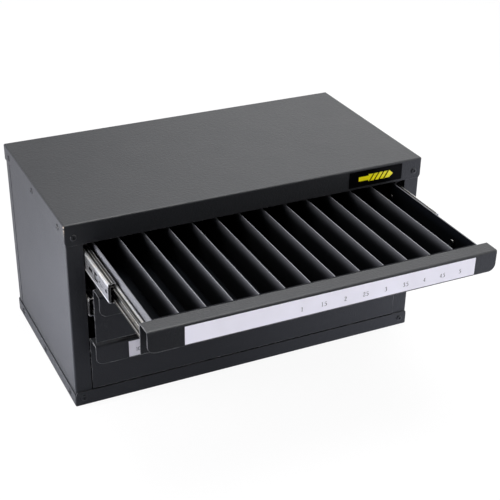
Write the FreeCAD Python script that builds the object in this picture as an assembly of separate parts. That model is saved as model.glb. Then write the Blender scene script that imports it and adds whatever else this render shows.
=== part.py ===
import FreeCAD, Part
import math
import os

# Drill bit dispenser cabinet: a folded steel case with three drawers on ball slides.
# Frame: +Z up, the front faces -Y, the origin is the centre of the base's underside.
# All sizes are millimetres. Drawers are drawn closed and then moved to their rest places.

Vec = FreeCAD.Vector

# Case
cabinet_width = 370.0
cabinet_depth = 197.5
shell_sheet = 1.0
shell_bend = 1.6
cap_front_flange = 21.1
cap_side_flange = 16.0
pan_front_flange = 15.6
pan_side_flange = 14.0
flange_corner_width = 2.5
flange_corner_height = 3.5
column_width = 17.3
edge_room = 1.0
back_flange = 12.0
rear_seam = 1.2

# Drawer fronts
top_panel_height = 30.0
deep_panel_height = 57.0
base_gap = 1.4
lower_drawer_gap = 5.7
upper_drawer_gap = 3.5
head_gap = 3.2
front_side_gap = 0.8
front_sheet = 1.0
front_bend = 1.8
handle_depth = 17.2
lip_height = 20.5
lip_corner_radius = 7.0

# Label on each lip
label_width = 279.0
label_height = 17.0
label_shift = 4.5
label_drop = 2.4
label_thickness = 0.3

# Trays and dividers
tray_sheet = 1.0
tray_bend = 1.6
tray_lift = 0.5
rim_drop = 0.5
rear_room = 19.5
divider_sheet = 0.8
divider_end_room = 0.8
divider_top_drop = 0.3
top_compartments = 13
deep_compartments = 8

# Slides: the section is drawn with u from the seat towards the drawer and v from the centre line
slide_seat = 16.0
slide_thickness = 12.0
slide_height = 27.0
slide_sheet = 1.0
web_gap = 1.0
ball_radius = 1.5
ball_clearance = 0.15
outer_row_u = 5.0
inner_row_drop = 3.5
outer_bend_radius = 1.0
mid_ridge_radius = 0.9
inner_ridge_radius = 1.6
outer_lip_degrees = -10.0
mid_lip_degrees = 30.0
inner_lip_degrees = -145.0
outer_setback = 8.0
mid_setback = 7.0
inner_setback = 2.0
mid_shorter = 10.0
bumper_gap = 0.3
bumper_height = 14.0
bumper_thickness = 4.0
bumper_round = 1.0
inner_rear_room = 4.0
slide_overlap = 25.0

# Ball cages
cage_sheet = 0.4
cage_gap = 0.3
cage_rear_room = 4.7
cage_reach = 0.6
inner_cage_lead = 2.5
balls_per_row = 5
cage_end_margin = 9.0

# Openings in the mid member, measured back from its front end
mid_eye_radius = 2.0
mid_eye_back = 5.5
mid_pin_radius = 1.0
mid_pin_back = 23.0
mid_window_back = 28.0
mid_window_length = 8.0
mid_window_height = 8.0
mid_tongue_width = 4.0
mid_tongue_length = 5.6
mid_slot_back = 42.0
mid_slot_length = 9.0
mid_slot_height = 3.0

# Uprights that carry the slides
upright_width = 20.0
upright_foot = 6.0
upright_bend = 1.5
front_upright_back = 28.0
rear_upright_room = 17.3

# Rest pose
top_short_of_full = 12.7
middle_rest_open = 18.6
bottom_rest_open = 0.0

# Name plate, left bare
plate_width = 59.5
plate_height = 16.4
plate_from_right = 23.0
plate_thickness = 0.6

# Blind rivets of the case
rivet_head_radius = 3.1
rivet_head_height = 1.0
rivet_crown_radius = 1.4
rivet_head_bulge = 0.35
rivet_shank_radius = 1.6
rivet_hole_clearance = 0.05
rivet_eye_radius = 0.9
rivet_eye_depth = 1.4
rivet_flare_radius = 2.2
rivet_tail = 1.6
corner_rivet_in = 8.7
cap_front_rivet_drop = 13.1
cap_side_rivet_drop = 9.2
pan_front_rivet_rise = 8.6
pan_side_rivet_rise = 7.0
side_rivet_ends = 18.0

# Slide rivets and drawer screws
slide_rivet_radius = 2.0
slide_rivet_head_radius = 3.4
slide_rivet_head_height = 0.5
rivet_head_room = 0.5
screw_radius = 2.0
screw_head_radius = 3.5
screw_head_height = 2.2
screw_head_round = 1.3
screw_tail = 1.5
front_screw_back = 34.0
rear_screw_room = 35.0
fastener_clearance = 0.05

# How near an edge's middle lies to the level that picks it for a fillet
edge_pick = 0.01

# Worked out from the sizes above
drawer_gaps = lower_drawer_gap + upper_drawer_gap
opening_height = base_gap + 2 * deep_panel_height + drawer_gaps + top_panel_height + head_gap
cabinet_height = pan_front_flange + opening_height + cap_front_flange
front_y = -cabinet_depth / 2
rear_y = cabinet_depth / 2
half_width = cabinet_width / 2
panel_width = cabinet_width - 2 * (column_width + front_side_gap)
tray_width = cabinet_width - 2 * (slide_seat + slide_thickness)
tray_front = front_y + front_sheet
tray_depth = cabinet_depth - front_sheet - 2 * shell_sheet - rear_room
slide_length = tray_depth
drawer_travel = tray_depth - slide_overlap
top_rest_open = drawer_travel - top_short_of_full
lip_face_y = tray_front - handle_depth
seam_y = rear_y - shell_sheet - back_flange - rear_seam
rear_upright_back = seam_y - rear_upright_room - upright_foot - upright_width - front_y
mid_rear_when_full = mid_setback + slide_length - mid_shorter - drawer_travel / 2
cage_length = mid_rear_when_full - cage_rear_room - outer_setback - cage_gap

bottom_z = pan_front_flange + base_gap
middle_z = bottom_z + deep_panel_height + lower_drawer_gap
top_z = middle_z + deep_panel_height + upper_drawer_gap
drawers = [
    ("top", top_z, top_panel_height, top_compartments, top_rest_open),
    ("middle", middle_z, deep_panel_height, deep_compartments, middle_rest_open),
    ("bottom", bottom_z, deep_panel_height, deep_compartments, bottom_rest_open),
]

parts = {}


# Flat paths of lines and arcs, and the sheet bands drawn along them

def polar(centre, radius, angle):
    return (centre[0] + radius * math.cos(angle), centre[1] + radius * math.sin(angle))


def line(start, end):
    return {"kind": "line", "start": start, "end": end}


def arc(centre, radius, start_angle, end_angle):
    return {"kind": "arc", "centre": centre, "radius": radius, "from": start_angle, "to": end_angle}


def folded_path(points, radius):
    """Lines through the points, with every corner rounded to the radius."""
    path = []
    start = points[0]
    for before, corner, after in zip(points, points[1:], points[2:]):
        first = math.atan2(corner[1] - before[1], corner[0] - before[0])
        second = math.atan2(after[1] - corner[1], after[0] - corner[0])
        turn = math.remainder(second - first, 2 * math.pi)
        side = math.copysign(1.0, turn)
        cut = radius * math.tan(abs(turn) / 2)
        enter = polar(corner, -cut, first)
        centre = polar(enter, radius, first + side * math.pi / 2)
        bend_start = first - side * math.pi / 2
        path.append(line(start, enter))
        path.append(arc(centre, radius, bend_start, bend_start + turn))
        start = polar(corner, cut, second)
    path.append(line(start, points[-1]))
    return path


def offset_piece(piece, shift):
    """The three points of a path piece moved sideways, to its left when shift is positive."""
    if piece["kind"] == "line":
        heading = math.atan2(piece["end"][1] - piece["start"][1], piece["end"][0] - piece["start"][0])
        start = polar(piece["start"], shift, heading + math.pi / 2)
        end = polar(piece["end"], shift, heading + math.pi / 2)
        return start, None, end
    left_turn = 1.0 if piece["to"] > piece["from"] else -1.0
    radius = piece["radius"] - left_turn * shift
    middle = (piece["from"] + piece["to"]) / 2
    return tuple(polar(piece["centre"], radius, a) for a in (piece["from"], middle, piece["to"]))


def band(path, thickness, place):
    """A face of constant thickness along the path; place turns flat points into space."""
    edges = []
    left = [offset_piece(piece, thickness / 2) for piece in path]
    right = [offset_piece(piece, -thickness / 2) for piece in path]
    outline = left + [(left[-1][2], None, right[-1][2])]
    outline += [(end, middle, start) for start, middle, end in reversed(right)]
    outline += [(right[0][0], None, left[0][0])]
    for start, middle, end in outline:
        if middle is None:
            edges.append(Part.LineSegment(place(start), place(end)).toShape())
        else:
            edges.append(Part.Arc(place(start), place(middle), place(end)).toShape())
    return Part.Face(Part.Wire(edges))


def box(low, high):
    size = [b - a for a, b in zip(low, high)]
    return Part.makeBox(size[0], size[1], size[2], Vec(*low))


def rod(start, direction, radius, length):
    return Part.makeCylinder(radius, length, Vec(*start), Vec(*direction))


def cut_all(shape, tools):
    for tool in tools:
        shape = shape.cut(tool)
    return shape


def mirror_x(shape):
    return shape.mirror(Vec(0, 0, 0), Vec(1, 0, 0))


def fillet_where(shape, radius, wanted):
    return shape.makeFillet(radius, [edge for edge in shape.Edges if wanted(edge.CenterOfMass)])


# Blind rivets: a list of places, each with the way its head faces

def shell_rivet_places():
    places = []
    cap_front_z = cabinet_height - cap_front_rivet_drop
    cap_side_z = cabinet_height - cap_side_rivet_drop
    corner_x = half_width - corner_rivet_in
    for x in (-corner_x, corner_x):
        places.append(((x, front_y, cap_front_z), (0, -1, 0)))
        places.append(((x, front_y, pan_front_rivet_rise), (0, -1, 0)))
    for z in (pan_side_rivet_rise, cap_side_z):
        for side in (-1, 1):
            for y in (front_y + side_rivet_ends, 0, rear_y - side_rivet_ends):
                places.append(((side * half_width, y, z), (side, 0, 0)))
        for x in (-corner_x, 0, corner_x):
            places.append(((x, rear_y, z), (0, 1, 0)))
    return places


def rivet_holes():
    radius = rivet_shank_radius + rivet_hole_clearance
    depth = 2 * shell_sheet + rivet_tail
    return [rod(spot, [-a for a in facing], radius, depth) for spot, facing in shell_rivet_places()]


def blind_rivet(spot, facing):
    """Domed head with the mandrel's eye, and a shank with a flared tail behind the sheets."""
    reach = 2 * shell_sheet
    eye_floor = rivet_head_height - rivet_eye_depth
    crown = Vec(rivet_crown_radius, 0, rivet_head_height)
    rim = Vec(rivet_head_radius, 0, 0)
    slope = rim - crown
    bend = crown + slope * 0.5 + Vec(-slope.z, 0, slope.x).normalize() * rivet_head_bulge
    below = [
        rim,
        Vec(rivet_shank_radius, 0, 0),
        Vec(rivet_shank_radius, 0, -reach),
        Vec(rivet_flare_radius, 0, -reach),
        Vec(rivet_shank_radius, 0, -reach - rivet_tail),
        Vec(0, 0, -reach - rivet_tail),
        Vec(0, 0, eye_floor),
        Vec(rivet_eye_radius, 0, eye_floor),
        Vec(rivet_eye_radius, 0, rivet_head_height),
        crown,
    ]
    edges = [Part.Arc(crown, bend, rim).toShape()]
    edges += [Part.LineSegment(a, b).toShape() for a, b in zip(below, below[1:])]
    solid = Part.Face(Part.Wire(edges)).revolve(Vec(0, 0, 0), Vec(0, 0, 1), 360)
    solid.Placement = FreeCAD.Placement(Vec(*spot), FreeCAD.Rotation(Vec(0, 0, 1), Vec(*facing)))
    return solid


# Case shells

def flanged_plate(front_flange, side_flange):
    """A plate at z 0 with flanges standing up round it, of one height in front and one elsewhere."""
    tall = max(front_flange, side_flange) + edge_room
    shell = box((-half_width, front_y, 0), (half_width, rear_y, tall))
    shell = fillet_where(shell, shell_bend, lambda c: c.z < tall - edge_pick)
    inner = box((-half_width + shell_sheet, front_y + shell_sheet, shell_sheet),
                (half_width - shell_sheet, rear_y - shell_sheet, tall))
    inner = fillet_where(inner, shell_bend - shell_sheet, lambda c: c.z < tall - edge_pick)
    flange_y = front_y + shell_bend
    above_front = box((-half_width, front_y, front_flange), (half_width, flange_y, tall))
    above_sides = box((-half_width, flange_y, side_flange), (half_width, rear_y, tall))
    shell = cut_all(shell, [inner, above_front, above_sides])
    corner = Part.Face(Part.makePolygon([
        Vec(-half_width, front_y, front_flange),
        Vec(-half_width + flange_corner_width, front_y, front_flange),
        Vec(-half_width, front_y, front_flange - flange_corner_height),
        Vec(-half_width, front_y, front_flange),
    ])).extrude(Vec(0, shell_bend, 0))
    return cut_all(shell, [corner, mirror_x(corner)])


def bottom_pan():
    return flanged_plate(pan_front_flange, pan_side_flange)


def top_cap():
    plate = flanged_plate(cap_front_flange, cap_side_flange)
    plate = plate.mirror(Vec(0, 0, 0), Vec(0, 0, 1))
    plate.translate(Vec(0, 0, cabinet_height))
    return plate


def upright_wall(path):
    """A folded sheet standing between the pan and the cap, drawn from above."""
    low = shell_sheet + edge_room
    high = cabinet_height - shell_sheet - edge_room
    face = band(path, shell_sheet, lambda p: Vec(p[0], p[1], low))
    return face.extrude(Vec(0, 0, high - low))


def left_side_panel():
    """Front column, side wall, and a lap stepped in behind the back panel's flange."""
    x = -half_width + 1.5 * shell_sheet
    y = front_y + 1.5 * shell_sheet
    lap_x = x + shell_sheet
    points = [(-half_width + column_width, y), (x, y), (x, seam_y - shell_sheet / 2),
              (lap_x, seam_y + shell_sheet / 2), (lap_x, rear_y - 2 * shell_sheet - edge_room)]
    return upright_wall(folded_path(points, shell_bend - shell_sheet / 2))


def back_panel():
    x = half_width - 1.5 * shell_sheet
    y = rear_y - 1.5 * shell_sheet
    flange_y = rear_y - shell_sheet - back_flange
    points = [(-x, flange_y), (-x, y), (x, y), (x, flange_y)]
    return upright_wall(folded_path(points, shell_bend - shell_sheet / 2))


def hat_upright(back):
    """A hat channel whose feet lie on the left side panel and whose crown carries the slides."""
    foot_x = -half_width + 2.5 * shell_sheet
    crown_x = -half_width + slide_seat - shell_sheet / 2
    low_y = front_y + back
    high_y = low_y + upright_width
    points = [(foot_x, low_y - upright_foot), (foot_x, low_y), (crown_x, low_y),
              (crown_x, high_y), (foot_x, high_y), (foot_x, high_y + upright_foot)]
    return upright_wall(folded_path(points, upright_bend - shell_sheet / 2))


def front_plate():
    right = half_width - plate_from_right
    middle_z = cabinet_height - cap_front_flange / 2
    return box((right - plate_width, front_y - plate_thickness, middle_z - plate_height / 2),
               (right, front_y, middle_z + plate_height / 2))


# Slide members: every section is the upper half of a path and its mirror image

def slide_centres():
    """Centres of the ball rows and the ridges, as (u, v) from the seat and the centre line."""
    race = ball_radius + ball_clearance + slide_sheet / 2
    outer_row = (outer_row_u, slide_height / 2 - slide_sheet / 2 - race)
    across = math.sqrt((2 * race) ** 2 - inner_row_drop ** 2)
    inner_row = (outer_row_u + across, outer_row[1] - inner_row_drop)
    mid_web_u = slide_sheet + web_gap + slide_sheet / 2
    mid_ridge_u = mid_web_u + mid_ridge_radius
    mid_reach = mid_ridge_radius + race
    mid_ridge = (mid_ridge_u, outer_row[1] - math.sqrt(mid_reach ** 2 - (outer_row_u - mid_ridge_u) ** 2))
    inner_web_u = slide_thickness - slide_sheet / 2
    inner_ridge_u = inner_web_u - inner_ridge_radius
    inner_reach = inner_ridge_radius + race
    inner_drop = math.sqrt(inner_reach ** 2 - (inner_ridge_u - inner_row[0]) ** 2)
    inner_ridge = (inner_ridge_u, inner_row[1] - inner_drop)
    return race, outer_row, inner_row, mid_ridge, inner_ridge, mid_web_u, inner_web_u


def angle_to(start, end):
    return math.atan2(end[1] - start[1], end[0] - start[0])


def mirrored(half):
    """The half path from the centre line outwards, with its mirror image run backwards before it."""
    lower = []
    for piece in reversed(half):
        if piece["kind"] == "line":
            (a, b), (c, d) = piece["start"], piece["end"]
            lower.append(line((c, -d), (a, -b)))
        else:
            u, v = piece["centre"]
            lower.append(arc((u, -v), piece["radius"], -piece["to"], -piece["from"]))
    return lower + half


def outer_member_path():
    race, row = slide_centres()[:2]
    web_u = slide_sheet / 2
    top_v = row[1] + race
    bend = outer_bend_radius
    return mirrored([
        line((web_u, 0), (web_u, top_v - bend)),
        arc((web_u + bend, top_v - bend), bend, math.pi, math.pi / 2),
        line((web_u + bend, top_v), (row[0], top_v)),
        arc(row, race, math.pi / 2, math.radians(outer_lip_degrees)),
    ])


def mid_member_path():
    race, outer_row, inner_row, ridge, _, web_u, _ = slide_centres()
    to_outer = angle_to(ridge, outer_row)
    to_inner = angle_to(outer_row, inner_row)
    return mirrored([
        line((web_u, 0), (web_u, ridge[1])),
        arc(ridge, mid_ridge_radius, math.pi, to_outer),
        arc(outer_row, race, to_outer - math.pi, to_inner),
        arc(inner_row, race, to_inner + math.pi, math.radians(mid_lip_degrees)),
    ])


def inner_member_path():
    race, _, row, _, ridge, _, web_u = slide_centres()
    to_row = angle_to(ridge, row)
    return mirrored([
        line((web_u, 0), (web_u, ridge[1])),
        arc(ridge, inner_ridge_radius, 0, to_row),
        arc(row, race, to_row - math.pi, math.radians(inner_lip_degrees)),
    ])


def left_slide_place(centre_z, start_y):
    return lambda p: Vec(-half_width + slide_seat + p[0], start_y, centre_z + p[1])


def member(path, centre_z, start_y, length):
    face = band(path, slide_sheet, left_slide_place(centre_z, start_y))
    return face.extrude(Vec(0, length, 0))


def slide_bumper(centre_z):
    """A rubber block behind the web of the outer member, which the mid member meets when closed."""
    low_y = front_y + mid_setback + slide_length - mid_shorter + bumper_gap
    high_y = front_y + outer_setback + slide_length
    web_x = -half_width + slide_seat + slide_sheet
    block = box((web_x, low_y, centre_z - bumper_height / 2),
                (web_x + bumper_thickness, high_y, centre_z + bumper_height / 2))
    return fillet_where(block, bumper_round, lambda c: c.x > web_x + bumper_thickness - edge_pick)


def slide_rivet_backs():
    return [back + upright_width / 2 for back in (front_upright_back, rear_upright_back)]


def outer_member(centre_z):
    solid = member(outer_member_path(), centre_z, front_y + outer_setback, slide_length)
    seat_x = -half_width + slide_seat
    radius = slide_rivet_radius + fastener_clearance
    holes = [rod((seat_x, front_y + back, centre_z), (1, 0, 0), radius, slide_sheet)
             for back in slide_rivet_backs()]
    return cut_all(solid, holes)


def mid_member(centre_z, opened):
    front = front_y + mid_setback
    solid = member(mid_member_path(), centre_z, front, slide_length - mid_shorter)
    web_x = -half_width + slide_seat + slide_sheet + web_gap
    through = slide_sheet
    eye = rod((web_x, front + mid_eye_back, centre_z), (1, 0, 0), mid_eye_radius, through)
    pin = rod((web_x, front + mid_pin_back, centre_z), (1, 0, 0), mid_pin_radius, through)
    window = box((web_x, front + mid_window_back, centre_z - mid_window_height / 2),
                 (web_x + through, front + mid_window_back + mid_window_length,
                  centre_z + mid_window_height / 2))
    tongue = box((web_x, front + mid_window_back, centre_z - mid_tongue_width / 2),
                 (web_x + through, front + mid_window_back + mid_tongue_length,
                  centre_z + mid_tongue_width / 2))
    slot = box((web_x, front + mid_slot_back, centre_z - mid_slot_height / 2),
               (web_x + through, front + mid_slot_back + mid_slot_length,
                centre_z + mid_slot_height / 2))
    solid = cut_all(solid, [eye, pin, window.cut(tongue), slot])
    solid.translate(Vec(0, -opened / 2, 0))
    return solid


def screw_backs():
    return [front_sheet + front_screw_back, front_sheet + tray_depth - rear_screw_room]


def inner_member(centre_z, opened):
    length = slide_length - inner_rear_room
    solid = member(inner_member_path(), centre_z, front_y + inner_setback, length)
    web_x = -half_width + slide_seat + slide_thickness - slide_sheet
    radius = screw_radius + fastener_clearance
    holes = [rod((web_x, front_y + back, centre_z), (1, 0, 0), radius, slide_sheet)
             for back in screw_backs()]
    solid = cut_all(solid, holes)
    solid.translate(Vec(0, -opened, 0))
    return solid


# Ball cages and balls. A cage travels half way between the two members that it parts.

def outer_cage_front(opened):
    return front_y + outer_setback + drawer_travel / 4 + cage_gap - opened / 4


def inner_cage_front(opened):
    """At the rest place of the top drawer this cage shows in front of the mid member's end."""
    shown = front_y + mid_setback - inner_cage_lead + top_rest_open / 4
    return shown - 3 * opened / 4


def ball_places(front):
    step = (cage_length - 2 * cage_end_margin) / (balls_per_row - 1)
    return [front + cage_end_margin + i * step for i in range(balls_per_row)]


def rivet_slot(centre_z, front):
    """The outer cage's web is open at the front, so that it passes the head of the front rivet."""
    x = -half_width + slide_seat + slide_sheet
    half = slide_rivet_head_radius + rivet_head_room
    deepest = front_y + slide_rivet_backs()[0] - outer_cage_front(drawer_travel)
    return box((x, front, centre_z - half), (x + web_gap, front + deepest + half, centre_z + half))


def cage(web_u, row, centre_z, front):
    reach = row[0] + cage_reach
    points = [(reach, -row[1]), (web_u, -row[1]), (web_u, row[1]), (reach, row[1])]
    face = band(folded_path(points, cage_sheet), cage_sheet, left_slide_place(centre_z, front))
    solid = face.extrude(Vec(0, cage_length, 0))
    pocket = ball_radius + ball_clearance
    x = -half_width + slide_seat + row[0]
    tools = []
    for y in ball_places(front):
        for side in (-1, 1):
            z = centre_z + side * row[1]
            tools.append(rod((x, y, z - cage_sheet), (0, 0, 1), pocket, 2 * cage_sheet))
    return cut_all(solid, tools)


def balls(row, centre_z, front):
    x = -half_width + slide_seat + row[0]
    return [Part.makeSphere(ball_radius, Vec(x, y, centre_z + side * row[1]))
            for y in ball_places(front) for side in (-1, 1)]


def outer_cage_web_u():
    return slide_sheet + web_gap / 2


def inner_cage_web_u():
    return 2 * slide_sheet + web_gap + cage_gap + cage_sheet / 2


# Fasteners of the slides

def slide_rivet(centre_z, back):
    """A flat rivet through the outer member and the upright's crown."""
    seat_x = -half_width + slide_seat
    y = front_y + back
    shank = rod((seat_x - shell_sheet, y, centre_z), (1, 0, 0), slide_rivet_radius,
                shell_sheet + slide_sheet)
    head = rod((seat_x + slide_sheet, y, centre_z), (1, 0, 0), slide_rivet_head_radius,
               slide_rivet_head_height)
    tail = rod((seat_x - shell_sheet, y, centre_z), (-1, 0, 0), slide_rivet_head_radius,
               slide_rivet_head_height)
    return shank.fuse([head, tail]).removeSplitter()


def upright_holes():
    seat_x = -half_width + slide_seat
    radius = slide_rivet_radius + fastener_clearance
    return [rod((seat_x - shell_sheet, front_y + back, z + height / 2), (1, 0, 0), radius, shell_sheet)
            for _, z, height, _, _ in drawers for back in slide_rivet_backs()]


def drawer_screw(centre_z, back, opened):
    """A pan head screw from inside the tray into the inner member."""
    wall_x = -tray_width / 2 + tray_sheet
    y = front_y + back - opened
    length = tray_sheet + slide_sheet + screw_tail
    shank = rod((wall_x, y, centre_z), (-1, 0, 0), screw_radius, length)
    head = rod((wall_x, y, centre_z), (1, 0, 0), screw_head_radius, screw_head_height)
    crown_x = wall_x + screw_head_height
    head = fillet_where(head, screw_head_round, lambda c: c.x > crown_x - edge_pick)
    return shank.fuse(head)


# Drawers

def drawer_front(z, height, opened):
    """Panel, handle flange and lip folded from one sheet, with the lip's lower corners rounded."""
    half = front_sheet / 2
    lip_y = lip_face_y + half
    top = z + height - half
    points = [(tray_front - half, z), (tray_front - half, top), (lip_y, top),
              (lip_y, z + height - lip_height)]
    face = band(folded_path(points, front_bend - half), front_sheet,
                lambda p: Vec(-panel_width / 2, p[0], p[1]))
    solid = face.extrude(Vec(panel_width, 0, 0))
    low = z + height - lip_height
    radius = lip_corner_radius
    corner = box((-panel_width / 2, lip_face_y, low),
                 (-panel_width / 2 + radius, lip_face_y + front_sheet, low + radius))
    round_end = rod((-panel_width / 2 + radius, lip_face_y, low + radius), (0, 1, 0), radius, front_sheet)
    corner = corner.cut(round_end)
    solid = cut_all(solid, [corner, mirror_x(corner)])
    solid.translate(Vec(0, -opened, 0))
    return solid


def drawer_label(z, height, opened):
    top = z + height - label_drop
    y = lip_face_y - opened
    return box((label_shift - label_width / 2, y - label_thickness, top - label_height),
               (label_shift + label_width / 2, y, top))


def tray_span(z, height):
    low = (-tray_width / 2, tray_front, z + tray_lift)
    high = (tray_width / 2, tray_front + tray_depth, z + height - rim_drop)
    return low, high


def drawer_tray(z, height, opened):
    """A floor with two sides folded from one sheet, and a front and a rear wall set between the sides."""
    low, high = tray_span(z, height)
    half = tray_sheet / 2
    side_x = high[0] - half
    floor_z = low[2] + half
    points = [(-side_x, high[2]), (-side_x, floor_z), (side_x, floor_z), (side_x, high[2])]
    face = band(folded_path(points, tray_bend - half), tray_sheet, lambda p: Vec(p[0], low[1], p[1]))
    body = face.extrude(Vec(0, tray_depth, 0))
    centre_z = z + height / 2
    radius = screw_radius + fastener_clearance
    holes = [rod((low[0], front_y + back, centre_z), (1, 0, 0), radius, tray_sheet)
             for back in screw_backs()]
    solids = [cut_all(body, holes + [mirror_x(hole) for hole in holes])]
    for wall_y in (low[1], high[1] - tray_sheet):
        wall = box((low[0] + tray_sheet, wall_y, low[2] + tray_sheet),
                   (high[0] - tray_sheet, wall_y + tray_sheet, high[2]))
        corner_x = high[0] - tray_sheet - edge_pick
        wall = fillet_where(wall, tray_bend - tray_sheet,
                            lambda c: c.z < low[2] + tray_sheet + edge_pick and abs(c.x) > corner_x)
        solids.append(wall)
    tray = Part.makeCompound(solids)
    tray.translate(Vec(0, -opened, 0))
    return tray


def dividers(z, height, count, opened):
    low, high = tray_span(z, height)
    inside = tray_width - 2 * tray_sheet
    pitch = (inside + divider_sheet) / count
    plates = []
    for i in range(1, count):
        x = low[0] + tray_sheet - divider_sheet + i * pitch
        plates.append(box(
            (x, low[1] + tray_sheet + divider_end_room - opened, low[2] + tray_sheet),
            (x + divider_sheet, high[1] - tray_sheet - divider_end_room - opened,
             high[2] - divider_top_drop)))
    return plates


# Build every node

def both_sides(shapes):
    shapes = list(shapes)
    return Part.makeCompound(shapes + [mirror_x(shape) for shape in shapes])


holes = rivet_holes()
left_panel = left_side_panel()
parts["bottom_pan"] = cut_all(bottom_pan(), holes)
parts["top_cap"] = cut_all(top_cap(), holes)
parts["left_side_panel"] = cut_all(left_panel, holes)
parts["right_side_panel"] = cut_all(mirror_x(left_panel), holes)
parts["back_panel"] = cut_all(back_panel(), holes)
parts["shell_rivets"] = Part.makeCompound([blind_rivet(*place) for place in shell_rivet_places()])
parts["front_plate"] = front_plate()

uprights = [cut_all(hat_upright(back), upright_holes())
            for back in (front_upright_back, rear_upright_back)]
parts["left_slide_uprights"] = Part.makeCompound(uprights)
parts["right_slide_uprights"] = mirror_x(parts["left_slide_uprights"])
parts["slide_rivets"] = both_sides(slide_rivet(z + height / 2, back)
                                   for _, z, height, _, _ in drawers for back in slide_rivet_backs())
parts["slide_bumpers"] = both_sides(slide_bumper(z + height / 2) for _, z, height, _, _ in drawers)

_, outer_row, inner_row = slide_centres()[:3]
for name, z, height, count, opened in drawers:
    centre_z = z + height / 2
    parts[name + "_drawer_tray"] = drawer_tray(z, height, opened)
    parts[name + "_drawer_front"] = drawer_front(z, height, opened)
    parts[name + "_dividers"] = Part.makeCompound(dividers(z, height, count, opened))
    parts[name + "_label"] = drawer_label(z, height, opened)
    parts[name + "_slide_screws"] = both_sides(drawer_screw(centre_z, back, opened)
                                               for back in screw_backs())
    members = {
        "outer": outer_member(centre_z),
        "mid": mid_member(centre_z, opened),
        "inner": inner_member(centre_z, opened),
    }
    for stage, shape in members.items():
        parts[name + "_left_" + stage + "_member"] = shape
        parts[name + "_right_" + stage + "_member"] = mirror_x(shape)
    outer_front = outer_cage_front(opened)
    inner_front = inner_cage_front(opened)
    outer_cage = cage(outer_cage_web_u(), outer_row, centre_z, outer_front)
    outer_cage = outer_cage.cut(rivet_slot(centre_z, outer_front))
    parts[name + "_outer_cages"] = both_sides([outer_cage])
    parts[name + "_inner_cages"] = both_sides([cage(inner_cage_web_u(), inner_row, centre_z, inner_front)])
    parts[name + "_outer_balls"] = both_sides(balls(outer_row, centre_z, outer_front))
    parts[name + "_inner_balls"] = both_sides(balls(inner_row, centre_z, inner_front))

os.makedirs("parts", exist_ok=True)
for node, shape in parts.items():
    shape.exportStep("parts/" + node + ".step")
    solids = shape.Solids
    print(node, len(solids), round(sum(solid.Volume for solid in solids), 1), shape.isValid())
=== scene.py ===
import math

import bmesh
import bpy
from mathutils import Matrix, Vector


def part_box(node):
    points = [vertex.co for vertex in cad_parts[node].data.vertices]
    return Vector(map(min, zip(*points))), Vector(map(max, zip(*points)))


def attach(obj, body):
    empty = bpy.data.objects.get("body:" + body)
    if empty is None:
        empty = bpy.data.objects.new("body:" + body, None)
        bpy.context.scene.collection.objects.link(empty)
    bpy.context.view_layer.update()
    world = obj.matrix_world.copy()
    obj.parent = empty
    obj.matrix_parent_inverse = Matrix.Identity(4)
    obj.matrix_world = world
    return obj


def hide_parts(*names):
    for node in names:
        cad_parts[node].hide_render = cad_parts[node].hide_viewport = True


# Everything is in metres, in the frame's own axes: x to the right, y to the rear, z up
mm = 0.001
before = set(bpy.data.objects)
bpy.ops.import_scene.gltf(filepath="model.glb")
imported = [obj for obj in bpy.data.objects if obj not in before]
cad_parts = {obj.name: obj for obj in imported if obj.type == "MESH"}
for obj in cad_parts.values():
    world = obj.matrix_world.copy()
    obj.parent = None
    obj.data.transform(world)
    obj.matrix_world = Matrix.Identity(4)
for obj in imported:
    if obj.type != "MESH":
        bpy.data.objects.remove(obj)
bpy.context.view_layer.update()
caseLow = Vector(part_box("bottom_pan")[0])
caseHigh = Vector(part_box("top_cap")[1])
drawerNames = ("top", "middle", "bottom")


# Node trees

def startTree(name, kind, inputs, outputs):
    tree = bpy.data.node_groups.new(name, kind)
    for label, socketKind, value in inputs:
        socket = tree.interface.new_socket(label, in_out="INPUT", socket_type="NodeSocket" + socketKind)
        if value is not None:
            socket.default_value = value
    for label, socketKind in outputs:
        tree.interface.new_socket(label, in_out="OUTPUT", socket_type="NodeSocket" + socketKind)
    return tree, tree.nodes.new("NodeGroupInput").outputs, tree.nodes.new("NodeGroupOutput").inputs


def emptyTree(owner):
    owner.use_nodes = True
    owner.node_tree.nodes.clear()
    return owner.node_tree


def feed(tree, value, socket):
    if isinstance(value, bpy.types.NodeSocket):
        tree.links.new(value, socket)
    else:
        socket.default_value = value


def addNode(tree, kind, inputs=None, **settings):
    node = tree.nodes.new(kind)
    for key, value in settings.items():
        setattr(node, key, value)
    for key, value in (inputs or {}).items():
        feed(tree, value, node.inputs[key])
    return node


def calc(tree, operation, first, second=0.0):
    return addNode(tree, "ShaderNodeMath", {0: first, 1: second}, operation=operation).outputs[0]


def times(tree, first, second):
    return calc(tree, "MULTIPLY", first, second)


def vectorCalc(tree, operation, first, second):
    return addNode(tree, "ShaderNodeVectorMath", {0: first, 1: second}, operation=operation).outputs


def spread(tree, value, low, high, toLow=0.0, toHigh=1.0):
    # value from low..high to toLow..toHigh, clamped
    names = ("Value", "From Min", "From Max", "To Min", "To Max")
    inputs = dict(zip(names, (value, low, high, toLow, toHigh)))
    return addNode(tree, "ShaderNodeMapRange", inputs).outputs[0]


def objectPlace(tree):
    return addNode(tree, "ShaderNodeTexCoord").outputs["Object"]


def vectorOf(tree, x, y, z):
    return addNode(tree, "ShaderNodeCombineXYZ", {0: x, 1: y, 2: z}).outputs[0]


def axesOf(tree, vector):
    return addNode(tree, "ShaderNodeSeparateXYZ", {0: vector}).outputs


def noiseOf(tree, vector, size, detail=2.0, roughness=0.5):
    scale = calc(tree, "DIVIDE", 1.0, size)
    inputs = {"Vector": vector, "Scale": scale, "Detail": detail, "Roughness": roughness}
    return addNode(tree, "ShaderNodeTexNoise", inputs).outputs[0]


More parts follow.
